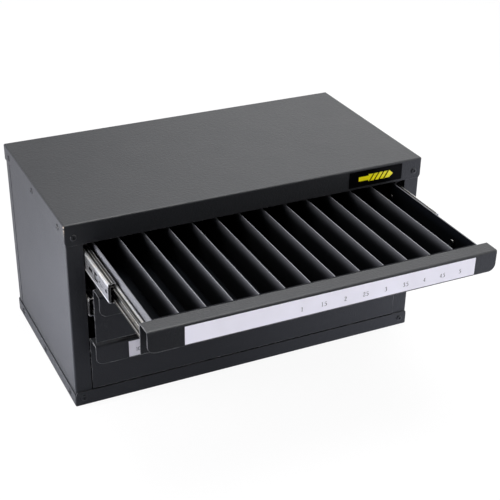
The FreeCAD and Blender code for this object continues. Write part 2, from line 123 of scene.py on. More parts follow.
def shownOutput(node):
    return next(socket for socket in node.outputs if socket.enabled)


def mixColour(tree, share, first, second):
    node = addNode(tree, "ShaderNodeMix", data_type="RGBA")
    colours = [socket for socket in node.inputs if socket.enabled and socket.type == "RGBA"]
    feed(tree, share, node.inputs[0])
    feed(tree, first, colours[0])
    feed(tree, second, colours[1])
    return shownOutput(node)


def namedAttribute(tree, name, kind):
    node = addNode(tree, "GeometryNodeInputNamedAttribute", {"Name": name}, data_type=kind)
    return shownOutput(node)


# Effects that several finishes share; a pair says where a mask begins and where it is full

patterns = {
    "grainDetail": 1.0, "cloudSize": 1 / 22, "cloudDetail": 3.0, "fleckFrom": (0.62, 0.8),
    "edgeTurn": (0.995, 0.85), "rubPatch": (0.42, 0.62), "edgeSamples": 4, "patchDetail": (3.0, 0.6),
    "dustFacing": (0.6, 0.95), "dustPatch": (0.35, 0.75), "dustDetail": (4.0, 0.65),
    "mottleFrom": (0.3, 0.7),
    "sheltered": (0.85, 0.45), "creviceShadePatch": (0.2, 0.6, 0.7, 1.0), "shelterSamples": 6,
}


def makePowderTexture():
    tree, given, wanted = startTree("Powder Texture", "ShaderNodeTree", [
        ("Peel Size", "Float", 1.3 * mm),
        ("Grain Size", "Float", 0.4 * mm),
        ("Grain Share", "Float", 0.4),
    ], [("Height", "Float"), ("Fleck", "Float"), ("Cloud", "Float")])
    place = objectPlace(tree)
    peel = noiseOf(tree, place, given["Peel Size"])
    grain = noiseOf(tree, place, given["Grain Size"], patterns["grainDetail"])
    cloud = noiseOf(tree, place, patterns["cloudSize"], patterns["cloudDetail"])
    grainPart = times(tree, grain, given["Grain Share"])
    peelPart = times(tree, peel, calc(tree, "SUBTRACT", 1.0, given["Grain Share"]))
    tree.links.new(calc(tree, "ADD", grainPart, peelPart), wanted["Height"])
    tree.links.new(spread(tree, grain, *patterns["fleckFrom"]), wanted["Fleck"])
    tree.links.new(cloud, wanted["Cloud"])
    return tree


# edge wear and painted highlight: a patchy mask along rounded edges, which the paints turn paler, for worn
# paint and for the light catching the edges; it also gives the rounded normal
def makeEdgeRub():
    tree, given, wanted = startTree("Edge Rub And Highlight", "ShaderNodeTree", [
        ("Round", "Float", 0.4 * mm),
        ("Patch Size", "Float", 9 * mm),
    ], [("Mask", "Float"), ("Normal", "Vector")])
    soft = addNode(tree, "ShaderNodeBevel", {"Radius": given["Round"]}, samples=patterns["edgeSamples"])
    flat = addNode(tree, "ShaderNodeNewGeometry").outputs["Normal"]
    along = vectorCalc(tree, "DOT_PRODUCT", soft.outputs[0], flat)["Value"]
    edge = spread(tree, along, *patterns["edgeTurn"])
    patch = noiseOf(tree, objectPlace(tree), given["Patch Size"], *patterns["patchDetail"])
    tree.links.new(times(tree, edge, spread(tree, patch, *patterns["rubPatch"])), wanted["Mask"])
    tree.links.new(soft.outputs[0], wanted["Normal"])
    return tree


def makeSettledDust():
    tree, given, wanted = startTree("Settled Dust", "ShaderNodeTree", [
        ("Patch Size", "Float", 30 * mm),
    ], [("Mask", "Float")])
    normal = addNode(tree, "ShaderNodeNewGeometry").outputs["Normal"]
    upward = spread(tree, axesOf(tree, normal)["Z"], *patterns["dustFacing"])
    patch = noiseOf(tree, objectPlace(tree), given["Patch Size"], *patterns["dustDetail"])
    tree.links.new(times(tree, upward, spread(tree, patch, *patterns["dustPatch"])), wanted["Mask"])
    return tree


def makeDrawnLines():
    tree, given, wanted = startTree("Drawn Lines", "ShaderNodeTree", [
        ("Line Width", "Float", 0.3 * mm),
        ("Line Length", "Float", 60 * mm),
        ("Mottle Size", "Float", 6 * mm),
    ], [("Height", "Float"), ("Mottle", "Float")])
    place = objectPlace(tree)
    across = calc(tree, "DIVIDE", 1.0, given["Line Width"])
    along = calc(tree, "DIVIDE", 1.0, given["Line Length"])
    stretched = vectorCalc(tree, "MULTIPLY", place, vectorOf(tree, across, along, across))["Vector"]
    tree.links.new(noiseOf(tree, stretched, 1.0), wanted["Height"])
    mottle = noiseOf(tree, place, given["Mottle Size"], *patterns["patchDetail"])
    tree.links.new(spread(tree, mottle, *patterns["mottleFrom"]), wanted["Mottle"])
    return tree


# painted shade: a mask that is full where ambient occlusion finds the surface closed in, in patches, so
# that the steel is painted darker there
def makeCreviceGrime():
    tree, given, wanted = startTree("Crevice Shade", "ShaderNodeTree", [
        ("Reach", "Float", 4 * mm),
        ("Patch Size", "Float", 5 * mm),
    ], [("Mask", "Float")])
    shelter = addNode(tree, "ShaderNodeAmbientOcclusion", {"Distance": given["Reach"]},
                      samples=patterns["shelterSamples"])
    patch = noiseOf(tree, objectPlace(tree), given["Patch Size"], *patterns["patchDetail"])
    closed = spread(tree, shelter.outputs["AO"], *patterns["sheltered"])
    tree.links.new(times(tree, closed, spread(tree, patch, *patterns["creviceShadePatch"])), wanted["Mask"])
    return tree


powderTexture = makePowderTexture()
edgeRubAndHighlight = makeEdgeRub()
settledDust = makeSettledDust()
drawnLines = makeDrawnLines()
creviceShadeTree = makeCreviceGrime()


# Finishes

# noise stays within this range nearly everywhere
noiseRange = (0.3, 0.7)


def startMaterial(name):
    material = bpy.data.materials.new(name)
    tree = emptyTree(material)
    shader = addNode(tree, "ShaderNodeBsdfPrincipled")
    addNode(tree, "ShaderNodeOutputMaterial", {"Surface": shader.outputs[0]})
    return material, tree, shader.inputs


def groupNode(tree, group, values):
    node = addNode(tree, "ShaderNodeGroup", node_tree=group)
    for key, value in values.items():
        feed(tree, value, node.inputs[key])
    return node.outputs


def setRoughness(tree, shader, noise, bounds):
    feed(tree, spread(tree, noise, *noiseRange, *bounds), shader["Roughness"])


def setBump(tree, shader, inputs):
    feed(tree, addNode(tree, "ShaderNodeBump", inputs).outputs[0], shader["Normal"])


# What the paints share; finishSettings has what is each paint's own
powderPaint = {
    "colour": (0.0038, 0.0046, 0.0068, 1), "rubbedAndLitEdge": (0.10, 0.10, 0.106, 1),
    "fleck": (0.05, 0.051, 0.056, 1), "dust": (0.06, 0.058, 0.055, 1),
    "specular": 0.42, "sheen": 0.2, "sheenRough": 0.35, "roughness": (0.485, 0.515),
    "round": 0.6 * mm, "peel": 2.2 * mm, "grain": 0.8 * mm, "bump": 0.34 * mm,
    "rubbedAndLitShare": 0.5, "dustShare": 0.05, "fleckShare": 0.25,
}
finishSettings = {
    "case_paint": {
        "mark": (0.27, 0.222, 0.175, 1), "markShare": 0.85, "markShines": False,
        "flakeSize": 1.2 * mm, "flakeFrom": (0.50, 0.60), "flakeReach": (12 * mm, 5 * mm),
        "bareReach": (3.0 * mm, 2.0 * mm), "chipWidth": (1.3 * mm, 0.9 * mm),
    },
    "drawer_paint": {
        "peel": 1.5 * mm, "bump": 0.40 * mm, "round": 0.9 * mm, "fleckShare": 0.45, "sheen": 0.22,
        "rubbedAndLitShare": 0.9, "rubbedAndLitEdge": (0.26, 0.26, 0.275, 1),
    },
    # painted light on the trays' outer faces: the mark is their paler colour
    "tray_paint": {
        "bump": 0.10 * mm, "dustShare": 0.03, "fleckShare": 0.1, "specular": 0.05, "sheen": 0.02,
        "roughness": (0.55, 0.6), "mark": (0.088, 0.090, 0.102, 1), "markShare": 1.0,
        "markShines": True, "outerDepth": (0.98 * mm, 0.90 * mm),
    },
    # painted light on the dividers' upper parts: the mark is their paler colour
    "divider_paint": {
        "bump": 0.10 * mm, "dustShare": 0.03, "round": 0.3 * mm, "specular": 0.06, "sheen": 0.04,
        "rubbedAndLitShare": 0.9, "rubbedAndLitEdge": (0.20, 0.20, 0.21, 1), "mark": (0.125, 0.128, 0.140, 1),
        "markShare": 0.9, "markShines": True, "litRimHeight": (0.35, 1.0), "litRimPower": 2.9,
    },
    "rivet_black": {"roughness": (0.46, 0.52), "bump": 0.02 * mm, "rubbedAndLitShare": 0.15, "round": 0.2 * mm},
}


def chippedCorner(tree, settings):
    # the cap's front left corner is knocked to bare steel, with flakes gone along the edge below
    place = objectPlace(tree)
    corner = (caseLow.x, caseLow.y, caseHigh.z)
    fromCorner = vectorCalc(tree, "DISTANCE", place, corner)["Value"]
    patch = spread(tree, noiseOf(tree, place, settings["flakeSize"]), *settings["flakeFrom"])
    flakes = times(tree, spread(tree, fromCorner, *settings["flakeReach"]), patch)
    knocked = calc(tree, "MAXIMUM", spread(tree, fromCorner, *settings["bareReach"]), flakes)
    level = vectorCalc(tree, "MULTIPLY", place, (1, 1, 0))["Vector"]
    fromEdge = vectorCalc(tree, "DISTANCE", level, (caseLow.x, caseLow.y, 0))["Value"]
    return times(tree, spread(tree, fromEdge, *settings["chipWidth"]), knocked)


def outerFaces(tree, settings):
    # painted light: a tray's outer faces and upper edges are painted paler and glossier than its dull
    # inside, for the light from the left on the outer wall
    across = calc(tree, "ABSOLUTE", axesOf(tree, objectPlace(tree))["X"])
    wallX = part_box("top_drawer_tray")[1].x
    inner, outer = settings["outerDepth"]
    return spread(tree, across, wallX - inner, wallX - outer)


def wornRim(tree, settings):
    # painted light: the upper part of a divider is painted paler and made glossier, for the light from the
    # left that reaches only the top of each face
    share = axesOf(tree, addNode(tree, "ShaderNodeTexCoord").outputs["Generated"])["Z"]
    return calc(tree, "POWER", spread(tree, share, *settings["litRimHeight"]), settings["litRimPower"])


# each paint's own mark: bare steel at the cap's chipped corner, painted light on the trays' outer faces and
# on the dividers' upper parts
paintMarks = {"case_paint": chippedCorner, "tray_paint": outerFaces, "divider_paint": wornRim}


def makePaint(name):
    settings = {**powderPaint, **finishSettings[name]}
    material, tree, shader = startMaterial(name + "_finish")
    powder = groupNode(tree, powderTexture, {
        "Peel Size": settings["peel"], "Grain Size": settings["grain"]})
    edgeRubLit = groupNode(tree, edgeRubAndHighlight, {"Round": settings["round"]})
    dust = groupNode(tree, settledDust, {})
    colour = settings["colour"]
    # fleck and dust are the paint's own; the pale edges are partly wear, partly painted highlight
    layers = ((powder["Fleck"], "fleckShare", "fleck"), (edgeRubLit["Mask"], "rubbedAndLitShare", "rubbedAndLitEdge"),
              (dust["Mask"], "dustShare", "dust"))
    for mask, share, over in layers:
        colour = mixColour(tree, times(tree, mask, settings[share]), colour, settings[over])
    if name in paintMarks:
        mask = paintMarks[name](tree, settings)
        colour = mixColour(tree, times(tree, mask, settings["markShare"]), colour, settings["mark"])
        if settings["markShines"]:
            feed(tree, mask, shader["Coat Weight"])
    feed(tree, colour, shader["Base Color"])
    setRoughness(tree, shader, powder["Cloud"], settings["roughness"])
    setBump(tree, shader, {
        "Height": powder["Height"], "Distance": settings["bump"], "Normal": edgeRubLit["Normal"]})
    shader["Coat Roughness"].default_value = settings["roughness"][0]
    shader["Specular IOR Level"].default_value = settings["specular"]
    shader["Sheen Weight"].default_value = settings["sheen"]
    shader["Sheen Roughness"].default_value = settings["sheenRough"]
    return material


platedSteel = {
    "slide_steel": {"cool": (0.60, 0.63, 0.67, 1), "warm": (0.70, 0.66, 0.60, 1),
                    "roughness": (0.24, 0.38), "metallic": 0.82},
    # painted shade: the outer members are the slide steel painted dark, for the shade inside the cabinet
    # where they run
    "shaded_outer_steel": {"cool": (0.10, 0.10, 0.11, 1), "warm": (0.12, 0.115, 0.105, 1),
                    "roughness": (0.35, 0.5)},
    "upright_steel": {"cool": (0.40, 0.41, 0.42, 1), "warm": (0.44, 0.43, 0.40, 1),
                      "roughness": (0.38, 0.52)},
    "cage_steel": {"cool": (0.03, 0.03, 0.032, 1), "warm": (0.05, 0.047, 0.042, 1),
                   "roughness": (0.3, 0.45)},
    "ball_steel": {"cool": (0.72, 0.72, 0.73, 1), "warm": (0.74, 0.72, 0.68, 1),
                   "roughness": (0.06, 0.12)},
    "rivet_steel": {"cool": (0.55, 0.56, 0.57, 1), "warm": (0.6, 0.57, 0.5, 1),
                    "roughness": (0.25, 0.4)},
    "screw_steel": {"cool": (0.12, 0.12, 0.125, 1), "warm": (0.18, 0.17, 0.155, 1),
                    "roughness": (0.2, 0.3)},
}
# bumps and rounding of the steel, its painted shade in crevices and along the ball races, and a darker band
# along the webs
steelWearAndShade = {
    "bump": 0.006 * mm, "round": 0.2 * mm,
    "grime": (0.020, 0.018, 0.015, 1), "creviceShadeShare": 0.95, "creviceShadeReach": 3.5 * mm,
    "raceShadeShare": 0.95, "ballRadius": 1.5 * mm, "raceHalf": 0.85 * mm, "raceFade": 0.45 * mm,
    "raceFacing": (0.2, 0.5),
    "webBandColour": (0.09, 0.092, 0.10, 1), "webBandShare": (0.55, 0.95),
    "webHalf": 6.2 * mm, "webFade": 1.4 * mm, "webDepth": (1.6 * mm, 1.2 * mm),
}


def bands(tree, value, middles, half, fade):
    # full within half of each middle, gone beyond the fade
    mask = 0.0
    for middle in middles:
        away = calc(tree, "ABSOLUTE", calc(tree, "SUBTRACT", value, middle))
        mask = calc(tree, "MAXIMUM", spread(tree, away, half + fade, half), mask)
    return mask


def greasedRaces(tree):
    # painted shade: a dark band where the balls run, in the grooves of the races, on what faces up or down
    x = calc(tree, "ABSOLUTE", axesOf(tree, objectPlace(tree))["X"])
    normal = addNode(tree, "ShaderNodeNewGeometry").outputs["Normal"]
    level = calc(tree, "ABSOLUTE", axesOf(tree, normal)["Z"])
    rows = [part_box(balls)[1].x - steelWearAndShade["ballRadius"]
            for balls in ("top_outer_balls", "top_inner_balls")]
    mask = bands(tree, x, rows, steelWearAndShade["raceHalf"], steelWearAndShade["raceFade"])
    return times(tree, mask, spread(tree, level, *steelWearAndShade["raceFacing"]))


def tarnishedWebs(tree):
    # a darker band along the middle of each mid member's web
    axes = axesOf(tree, objectPlace(tree))
    boxes = [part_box(name + "_left_mid_member") for name in drawerNames]
    middles = [(low.z + high.z) / 2 for low, high in boxes]
    mask = bands(tree, axes["Z"], middles, steelWearAndShade["webHalf"], steelWearAndShade["webFade"])
    webX = abs(boxes[0][0].x)
    inner, outer = steelWearAndShade["webDepth"]
    x = calc(tree, "ABSOLUTE", axes["X"])
    return times(tree, mask, spread(tree, x, webX - inner, webX - outer))


def makeSteel(name):
    settings = platedSteel[name]
    material, tree, shader = startMaterial(name + "_finish")
    lines = groupNode(tree, drawnLines, {})
    edgeRubLit = groupNode(tree, edgeRubAndHighlight, {"Round": steelWearAndShade["round"]})
    grime = groupNode(tree, creviceShadeTree, {"Reach": steelWearAndShade["creviceShadeReach"]})
    metal = mixColour(tree, lines["Mottle"], settings["cool"], settings["warm"])
    # painted shade: the steel is painted darker in crevices, and on the slides also along the ball races
    paintedShade = times(tree, grime["Mask"], steelWearAndShade["creviceShadeShare"])
    if name == "slide_steel":
        uneven = spread(tree, lines["Mottle"], 0, 1, *steelWearAndShade["webBandShare"])
        metal = mixColour(tree, times(tree, tarnishedWebs(tree), uneven), metal, steelWearAndShade["webBandColour"])
        raceShade = times(tree, greasedRaces(tree), steelWearAndShade["raceShadeShare"])
        paintedShade = calc(tree, "MAXIMUM", paintedShade, raceShade)
    feed(tree, mixColour(tree, paintedShade, metal, steelWearAndShade["grime"]), shader["Base Color"])
    setRoughness(tree, shader, lines["Height"], settings["roughness"])
    setBump(tree, shader, {
        "Height": lines["Height"], "Distance": steelWearAndShade["bump"], "Normal": edgeRubLit["Normal"]})
    shader["Metallic"].default_value = settings.get("metallic", 1.0)
    return material


# Each goes from its colour to its faded colour by one of the powder texture's outputs
plainLooks = {
    "rubber": {
        "colour": (0.018, 0.018, 0.019), "faded": (0.05, 0.05, 0.052), "fading": ("Cloud", 0, 1),
        "peel": 2.5 * mm, "grain": 0.25 * mm, "bump": 0.04 * mm,
        "roughBy": "Cloud", "roughness": (0.6, 0.78),
    },
    "paper": {
        "colour": (0.79, 0.775, 0.88), "faded": (0.73, 0.715, 0.80), "fading": ("Cloud", 0.35, 0.75),
        "peel": 0.9 * mm, "grain": 0.2 * mm, "bump": 0.015 * mm,
        "roughBy": "Height", "roughness": (0.42, 0.55),
    },
    "ink": {
        "colour": (0.02, 0.02, 0.025), "faded": (0.06, 0.06, 0.07), "fading": ("Height", 0.4, 0.65),
        "peel": 0.5 * mm, "grain": 0.15 * mm, "bump": 0.0,
        "roughBy": "Cloud", "roughness": (0.4, 0.5),
    },
    "yellow": {
        "colour": (1.0, 0.90, 0.0), "faded": (1.0, 0.87, 0.0), "fading": ("Height", 0.4, 0.65),
        "peel": 0.5 * mm, "grain": 0.15 * mm, "bump": 0.0,
        "roughBy": "Cloud", "roughness": (0.3, 0.4),
    },
    "plate": {
        "colour": (0.0006, 0.0006, 0.0008), "faded": (0.003, 0.003, 0.0035), "fading": ("Cloud", 0, 1),
        "peel": 6 * mm, "grain": 0.3 * mm, "grainShare": 0.1, "bump": 0.01 * mm,
        "roughBy": "Cloud", "roughness": (0.2, 0.32), "specular": 0.03,
    },
}
# painted shade: the labels of the lower drawers are painted darker, for the shade of the handles above them
labelShadeTones = {"top": 1.0, "middle": 0.85, "bottom": 0.72}


def makePlain(name, lookName, shadeTone=1.0):
    look = plainLooks[lookName]
    material, tree, shader = startMaterial(name)
    texture = groupNode(tree, powderTexture, {
        "Peel Size": look["peel"], "Grain Size": look["grain"],
        "Grain Share": look.get("grainShare", 0.4)})
    colours = [[value * shadeTone for value in look[key]] + [1] for key in ("colour", "faded")]
    fadeBy, low, high = look["fading"]
    feed(tree, mixColour(tree, spread(tree, texture[fadeBy], low, high), *colours), shader["Base Color"])
    setRoughness(tree, shader, texture[look["roughBy"]], look["roughness"])
    if look["bump"]:
        setBump(tree, shader, {"Height": texture["Height"], "Distance": look["bump"]})
    if "specular" in look:
        shader["Specular IOR Level"].default_value = look["specular"]
    return material


finishes = {name: makePaint(name) for name in finishSettings}
finishes.update({name: makeSteel(name) for name in platedSteel})
finishes["bumper_rubber"] = makePlain("bumper_rubber_finish", "rubber")
finishes["plate_black"] = makePlain("plate_black_finish", "plate")
shadeTonedLabelPapers = {name: makePlain(name + "_label_paper", "paper", shadeTone) for name, shadeTone in labelShadeTones.items()}
finishes["label_paper"] = shadeTonedLabelPapers["top"]
numberInk = makePlain("number_ink", "ink")
plateYellow = makePlain("plate_yellow", "yellow")
ownFinishes = {"_drawer_tray": "tray_paint", "_outer_member": "shaded_outer_steel"}


def finishOf(nodeName, slotName):
    return next((own for ending, own in ownFinishes.items() if nodeName.endswith(ending)), slotName)


for nodeName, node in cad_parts.items():
    for materialSlot in node.material_slots:
        slotName = materialSlot.material.name.split(".")[0]
        materialSlot.material = finishes[finishOf(nodeName, slotName)]
print("finishes made:", len(finishes))


# Small parts, turned or cut in mesh code, then set on their places by one tree

# all of a turned part's faces are smooth, and its edges are sharp beyond the crease
turning = {"sides": 28, "weld": 0.001 * mm, "crease": math.radians(34)}


def addPiece(name, data):
    piece = bpy.data.objects.new(name, data)
    bpy.context.scene.collection.objects.link(piece)
    return piece


def pieceOf(name, shape):
    mesh = bpy.data.meshes.new(name)
    shape.to_mesh(mesh)
    shape.free()
    return addPiece(name, mesh)


def turnedPiece(name, profile):
    # profile is (radius, height) from the axis outwards and down, turned round z
    shape = bmesh.new()
    edges = []
    points = [shape.verts.new((radius, 0, height)) for radius, height in profile]
    for first, second in zip(points, points[1:]):
        edges.append(shape.edges.new((first, second)))
    bmesh.ops.spin(shape, geom=points + edges, axis=(0, 0, 1), cent=(0, 0, 0), dvec=(0, 0, 0),
                   angle=2 * math.pi, steps=turning["sides"], use_merge=True, use_duplicate=False)
    bmesh.ops.remove_doubles(shape, verts=shape.verts, dist=turning["weld"])
    bmesh.ops.recalc_face_normals(shape, faces=shape.faces)
    for face in shape.faces:
        face.smooth = True
    for edge in shape.edges:
        edge.smooth = edge.calc_face_angle(0) < turning["crease"]
    return pieceOf(name, shape)


def arcPoints(centre, radius, start, end, steps):
    return [(centre[0] + radius * math.cos(start + (end - start) * i / steps),
             centre[1] + radius * math.sin(start + (end - start) * i / steps)) for i in range(steps + 1)]


def dressedGeometry(tree, node, finish):
    inputs = {"Geometry": node.outputs[0], "Material": finish}
    return addNode(tree, "GeometryNodeSetMaterial", inputs).outputs[0]


def makePlaceTree():
    tree, given, wanted = startTree("Set On Places", "GeometryNodeTree", [
        ("Geometry", "Geometry", None),
        ("Part", "Object", None),
        ("Lean", "Float", 0.0),
        ("Spin Seed", "Int", 1),
        ("Finish", "Material", None),
    ], [("Geometry", "Geometry")])
    part = addNode(tree, "GeometryNodeObjectInfo", {"Object": given["Part"]}).outputs["Geometry"]
    facing = namedAttribute(tree, "facing", "FLOAT_VECTOR")
    outward = addNode(tree, "FunctionNodeAlignRotationToVector", {"Vector": facing}, axis="Z")
    lean = given["Lean"]
    back = times(tree, lean, -1.0)
    spin = addNode(tree, "FunctionNodeRandomValue", {
        0: vectorOf(tree, back, back, 0.0), 1: vectorOf(tree, lean, lean, 2 * math.pi),
        "Seed": given["Spin Seed"]}, data_type="FLOAT_VECTOR")
    turn = addNode(tree, "FunctionNodeEulerToRotation", {0: shownOutput(spin)})
    rotation = addNode(tree, "FunctionNodeRotateRotation", {0: outward.outputs[0], 1: turn.outputs[0]},
                       rotation_space="LOCAL")
    placed = addNode(tree, "GeometryNodeInstanceOnPoints", {
        "Points": given["Geometry"], "Instance": part, "Rotation": rotation.outputs[0]})
    real = addNode(tree, "GeometryNodeRealizeInstances", {"Geometry": placed.outputs[0]})
    tree.links.new(dressedGeometry(tree, real, given["Finish"]), wanted["Geometry"])
    return tree


def setInputs(modifier, values):
    sockets = {item.name: item.identifier for item in modifier.node_group.interface.items_tree
               if item.in_out == "INPUT"}
    for name, value in values.items():
        modifier[sockets[name]] = value


def plainMesh(carrier):
    # the evaluated result becomes the object's own mesh, and the modifiers go
    bpy.context.view_layer.update()
    depsgraph = bpy.context.evaluated_depsgraph_get()
    mesh = bpy.data.meshes.new_from_object(carrier.evaluated_get(depsgraph))
    kept = [material for material in mesh.materials if material]
    mesh.materials.clear()
    for material in kept[-1:]:
        mesh.materials.append(material)
    mesh.polygons.foreach_set("material_index", [0] * len(mesh.polygons))
    carrier.modifiers.clear()
    carrier.data = mesh
    return carrier


placeTree = makePlaceTree()


def setOnPlaces(name, part, places, finish, lean, seed):
    mesh = bpy.data.meshes.new(name)
    mesh.from_pydata([spot for spot, _ in places], [], [])
    facing = mesh.attributes.new("facing", "FLOAT_VECTOR", "POINT")
    facing.data.foreach_set("vector", [amount for _, way in places for amount in way])
    part.data.materials.append(finish)
    carrier = addPiece(name, mesh)
    modifier = carrier.modifiers.new("places", "NODES")
    modifier.node_group = placeTree
    setInputs(modifier, {"Part": part, "Lean": lean, "Spin Seed": seed, "Finish": finish})
    piece = plainMesh(carrier)
    bpy.data.objects.remove(part)
    return piece


# stemTop is the stem's end, in shares of its radius and of its cone
shellRivet = {
    "headRadius": 3.1 * mm, "headHeight": 1.0 * mm, "crownRadius": 1.6 * mm, "rimHeight": 0.14 * mm,
    "domeSteps": 8, "eyeRadius": 1.25 * mm, "eyeDepth": 0.95 * mm, "eyeSoft": (0.12 * mm, 0.15 * mm),
    "stemRadius": 0.75 * mm, "stemCone": 0.2 * mm,
    "stemTop": ((0, 0.4), (0.45, 1.0), (1.0, 0.7), (1.0, 0)),
    "shankRadius": 1.6 * mm, "bulbRadius": 2.2 * mm, "bulbShoulder": 0.25 * mm, "bulbTaper": 0.7 * mm,
    "tail": 1.6 * mm, "sheets": 2.0 * mm, "lean": 0.02,
    "cornerIn": 8.7 * mm, "capFrontDrop": 13.1 * mm, "capSideDrop": 9.2 * mm,
    "panFrontRise": 8.6 * mm, "panSideRise": 7.0 * mm, "sideEnds": 18 * mm, "seed": 11,
}


def shellRivetPlaces():
    r = shellRivet
    cornerX = caseHigh.x - r["cornerIn"]
    places = []
    for x in (-cornerX, cornerX):
        for z in (caseHigh.z - r["capFrontDrop"], r["panFrontRise"]):
            places.append(((x, caseLow.y, z), (0, -1, 0)))
    for z in (r["panSideRise"], caseHigh.z - r["capSideDrop"]):
        for side in (-1, 1):
            for y in (caseLow.y + r["sideEnds"], 0, caseHigh.y - r["sideEnds"]):
                places.append(((side * caseHigh.x, y, z), (side, 0, 0)))
        for x in (-cornerX, 0, cornerX):
            places.append(((x, caseHigh.y, z), (0, 1, 0)))
    return places


def shellRivetPart():
    r = shellRivet
    crownZ, rimZ = r["headHeight"], r["rimHeight"]
    floorZ = crownZ - r["eyeDepth"]
    eyeWider, eyeLower = r["eyeSoft"]
    profile = [(r["stemRadius"] * across, floorZ + r["stemCone"] * up) for across, up in r["stemTop"]]
    profile += [(r["eyeRadius"], floorZ), (r["eyeRadius"], crownZ - eyeLower)]
    profile += [(r["eyeRadius"] + eyeWider, crownZ)]
    for i in range(r["domeSteps"] + 1):
        turn = i / r["domeSteps"] * math.pi / 2
        radius = r["crownRadius"] + (r["headRadius"] - r["crownRadius"]) * math.sin(turn)
        profile.append((radius, rimZ + (crownZ - rimZ) * math.cos(turn)))
    profile += [(r["headRadius"], 0), (r["shankRadius"], 0), (r["shankRadius"], -r["sheets"])]
    bulbLow = -r["sheets"] - r["tail"]
    profile += [(r["bulbRadius"], -r["sheets"] - r["bulbShoulder"])]
    profile += [(r["bulbRadius"], bulbLow + r["bulbTaper"])]
    profile += [(r["shankRadius"], bulbLow), (r["eyeRadius"], bulbLow), (0, bulbLow)]
    return turnedPiece("shellRivetPart", profile)


shellRivets = setOnPlaces("shellRivets", shellRivetPart(), shellRivetPlaces(),
                          finishes["rivet_black"], shellRivet["lean"], shellRivet["seed"])
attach(shellRivets, "cabinet")
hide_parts("shell_rivets")
print("shell rivets set:", len(shellRivetPlaces()))

cabinetSlide = {
    "seat": 16 * mm, "sheet": 1.0 * mm, "rivetRadius": 2.0 * mm, "rivetHead": 3.4 * mm,
    "rivetHeadHeight": 0.5 * mm, "rivetSoft": 0.15 * mm, "dimple": 1.2 * mm, "dimpleDepth": 0.2 * mm,
    "dimpleSlope": (0.6, 0.8), "seed": 5,
}


def slideRivetPart():
    s = cabinetSlide
    head, shank, sheet, soft = s["rivetHead"], s["rivetRadius"], s["sheet"], s["rivetSoft"]
    top = sheet + s["rivetHeadHeight"]
    slopeOut, slopeDown = s["dimpleSlope"]
    profile = [(0, top - s["dimpleDepth"]), (s["dimple"] * slopeOut, top - s["dimpleDepth"] * slopeDown),
               (s["dimple"], top), (head - soft, top), (head, top - soft), (head, sheet), (shank, sheet),
               (shank, -sheet), (head, -sheet), (head, soft - top), (head - soft, -top), (0, -top)]
    return turnedPiece("slideRivetPart", profile)


def slideRivetPlaces():
    low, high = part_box("slide_rivets")
    head = cabinetSlide["rivetHead"]
    seatX = caseHigh.x - cabinetSlide["seat"]
    places = []
    for name in drawerNames:
        memberLow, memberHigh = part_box(name + "_left_outer_member")
        z = (memberLow.z + memberHigh.z) / 2
        for y in (low.y + head, high.y - head):
            for side in (-1, 1):
                places.append(((side * seatX, y, z), (-side, 0, 0)))
    return places


slideRivets = setOnPlaces("slideRivets", slideRivetPart(), slideRivetPlaces(),
                          finishes["rivet_steel"], 0.0, cabinetSlide["seed"])
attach(slideRivets, "cabinet")
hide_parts("slide_rivets")

drawerScrew = {
    "headRadius": 3.5 * mm, "headHeight": 2.2 * mm, "headRound": 1.3 * mm, "shankRadius": 2.0 * mm,
    "roundSteps": 6, "reach": 3.5 * mm, "threadStart": 0.3 * mm, "threadDepth": 0.28 * mm,
    "threadPitch": 0.7 * mm, "endTaper": 0.4 * mm, "crossWidth": 0.95 * mm, "crossReach": 1.9 * mm,
    "crossDepth": 1.3 * mm, "crossAbove": 0.5 * mm, "crossShares": (1.1, 0.5), "seed": 3,
}


def crossCutter():
    # a tapered cross, wide at the top, for the recess of a screw
    s = drawerScrew
    shape = bmesh.new()
    half, reach = s["crossWidth"] / 2, s["crossReach"]
    corner = [(half, half), (half, reach), (-half, reach), (-half, half), (-reach, half), (-reach, -half),
              (-half, -half), (-half, -reach), (half, -reach), (half, -half), (reach, -half), (reach, half)]
    heights = (s["headHeight"] + s["crossAbove"], s["headHeight"] - s["crossDepth"])
    rings = []
    for z, share in zip(heights, s["crossShares"]):
        rings.append([shape.verts.new((x * share, y * share, z)) for x, y in corner])
    shape.faces.new(rings[0])
    shape.faces.new(list(reversed(rings[1])))
    for i in range(len(corner)):
        j = (i + 1) % len(corner)
        shape.faces.new((rings[0][i], rings[1][i], rings[1][j], rings[0][j]))
    bmesh.ops.recalc_face_normals(shape, faces=shape.faces)
    return pieceOf("crossCutter", shape)


def drawerScrewPart():
    s = drawerScrew
    profile = [(0, s["headHeight"])]
    centre = (s["headRadius"] - s["headRound"], s["headHeight"] - s["headRound"])
    profile += arcPoints(centre, s["headRound"], math.pi / 2, 0, s["roundSteps"])
    profile += [(s["headRadius"], 0), (s["shankRadius"], 0)]
    z = -s["threadStart"]
    while z > -s["reach"] + s["threadPitch"]:
        profile += [(s["shankRadius"], z)]
        profile += [(s["shankRadius"] - s["threadDepth"], z - s["threadPitch"] / 2)]
        z -= s["threadPitch"]
    profile += [(s["shankRadius"], z), (s["shankRadius"] - s["endTaper"], -s["reach"]), (0, -s["reach"])]
    part = turnedPiece("drawerScrewPart", profile)
    cutter = crossCutter()
    cut = part.modifiers.new("cross", "BOOLEAN")
    cut.operation = "DIFFERENCE"
    cut.solver = "EXACT"
    cut.object = cutter
    plainMesh(part)
    bpy.data.objects.remove(cutter)
    return part


